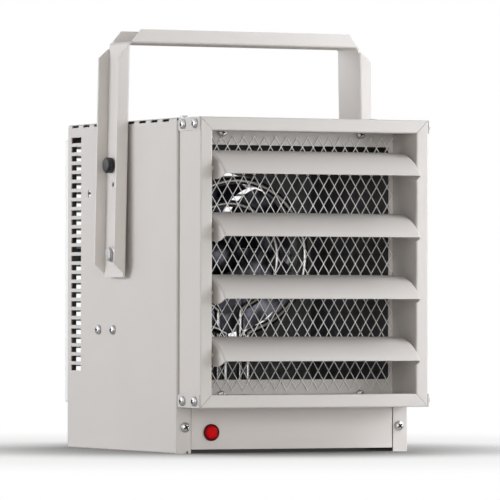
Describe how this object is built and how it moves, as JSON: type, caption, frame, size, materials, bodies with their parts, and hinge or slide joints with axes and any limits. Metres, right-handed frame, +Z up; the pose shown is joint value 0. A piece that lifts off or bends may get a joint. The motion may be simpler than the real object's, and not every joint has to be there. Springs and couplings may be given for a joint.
{
  "type": "fan heater",
  "caption": "Box-shaped electric fan heater that hangs from a tilting U-shaped bracket and blows warm air through adjustable louvre blades.",
  "frame": {"origin": "middle of the bounding box, on the surface that the case stands on", "axes": "+Z up to the ceiling face of the bracket, the louvres face -Y, +X to the right seen from the louvres"},
  "size_m": [0.3232, 0.389, 0.4705],
  "materials": {
    "painted_sheet": "satin powder coat, warm light grey",
    "louvre_paint": "satin powder coat, warm light grey",
    "painted_strand": "satin powder coat on expanded metal",
    "zinc_plate": "bright zinc plate",
    "galvanised_sheet": "dull galvanised sheet",
    "bare_aluminium": "bright pressed sheet",
    "ground_steel": "ground",
    "motor_enamel": "satin blue-grey enamel",
    "element_sheath": "bright metal sheath",
    "dark_moulding": "matt moulding",
    "black_plastic": "satin black moulding",
    "red_bezel": "gloss dark red moulding",
    "red_lens": "gloss red lens"
  },
  "bodies": {
    "cabinet": {"cabinet_wrap": "painted_sheet", "base_pan": "painted_sheet", "lower_front_panel": "painted_sheet", "frame_left_stile": "painted_sheet", "frame_right_stile": "painted_sheet", "frame_top_rail": "painted_sheet", "frame_bottom_rail": "painted_sheet", "corner_plate_top_left": "painted_sheet", "corner_plate_top_right": "painted_sheet", "corner_plate_bottom_left": "painted_sheet", "corner_plate_bottom_right": "painted_sheet", "outlet_plate": "painted_sheet", "outlet_mesh": "painted_strand", "rear_guard": "painted_strand", "corner_screw_top_left_rear": "zinc_plate", "corner_screw_top_left_front": "zinc_plate", "corner_screw_bottom_left_rear": "zinc_plate", "corner_screw_bottom_left_front": "zinc_plate", "corner_screw_top_right_rear": "zinc_plate", "corner_screw_top_right_front": "zinc_plate", "corner_screw_bottom_right_rear": "zinc_plate", "corner_screw_bottom_right_front": "zinc_plate", "leg_screw_left": "zinc_plate", "leg_screw_right": "zinc_plate", "top_screw_left": "zinc_plate", "top_screw_right": "zinc_plate", "side_screw_left_1": "zinc_plate", "side_screw_left_2": "zinc_plate", "side_screw_right_1": "zinc_plate", "side_screw_right_2": "zinc_plate", "pivot_bolt_left": "zinc_plate", "pivot_bolt_right": "zinc_plate", "rear_panel": "galvanised_sheet", "heat_chamber": "galvanised_sheet", "fan_bulkhead": "galvanised_sheet", "motor_strap": "galvanised_sheet", "terminal_plate": "galvanised_sheet", "motor": "motor_enamel", "heating_element_outer": "element_sheath", "heating_element_inner": "element_sheath", "contactor": "dark_moulding", "terminal_block": "dark_moulding", "thermostat": "dark_moulding", "limit_cutout": "dark_moulding", "cable_bushing": "black_plastic", "pilot_lamp_bezel": "red_bezel", "pilot_lamp_lens": "red_lens"},
    "bracket": {"mounting_bracket": "painted_sheet", "clamp_bolt_left": "zinc_plate", "clamp_bolt_right": "zinc_plate"},
    "knob_left": {"clamp_knob_left": "black_plastic"},
    "knob_right": {"clamp_knob_right": "black_plastic"},
    "fan": {"fan": "bare_aluminium", "motor_shaft": "ground_steel"},
    "thermostat_knob": {"thermostat_knob": "black_plastic"},
    "louvre_1": {"louvre_blade_1": "louvre_paint"},
    "louvre_2": {"louvre_blade_2": "louvre_paint"},
    "louvre_3": {"louvre_blade_3": "louvre_paint"},
    "louvre_4": {"louvre_blade_4": "louvre_paint"}
  },
  "joints": [
    {"name": "bracket_tilt", "type": "hinge", "parent": "cabinet", "child": "bracket", "pos_m": [0, 0.0405, 0.2195], "axis": [-1, 0, 0], "range_deg": [-12, 30]},
    {"name": "knob_turn_left", "type": "hinge", "parent": "bracket", "child": "knob_left", "pos_m": [-0.1505, 0.0455, 0.319], "axis": [-1, 0, 0], "continuous": true},
    {"name": "knob_turn_right", "type": "hinge", "parent": "bracket", "child": "knob_right", "pos_m": [0.1505, 0.0455, 0.319], "axis": [1, 0, 0], "continuous": true},
    {"name": "louvre_tilt_1", "type": "hinge", "parent": "cabinet", "child": "louvre_1", "pos_m": [0, -0.1635, 0.312], "axis": [1, 0, 0], "range_deg": [-25, 45]},
    {"name": "louvre_tilt_2", "type": "hinge", "parent": "cabinet", "child": "louvre_2", "pos_m": [0, -0.1635, 0.244], "axis": [1, 0, 0], "range_deg": [-25, 45]},
    {"name": "louvre_tilt_3", "type": "hinge", "parent": "cabinet", "child": "louvre_3", "pos_m": [0, -0.1635, 0.176], "axis": [1, 0, 0], "range_deg": [-25, 45]},
    {"name": "louvre_tilt_4", "type": "hinge", "parent": "cabinet", "child": "louvre_4", "pos_m": [0, -0.1635, 0.108], "axis": [1, 0, 0], "range_deg": [-25, 45]},
    {"name": "fan_spin", "type": "hinge", "parent": "cabinet", "child": "fan", "pos_m": [0, 0.075, 0.218], "axis": [0, -1, 0], "continuous": true},
    {"name": "thermostat_turn", "type": "hinge", "parent": "cabinet", "child": "thermostat_knob", "pos_m": [0.082, 0.185, 0.028], "axis": [0, 1, 0], "range_deg": [-150, 150]}
  ]
}
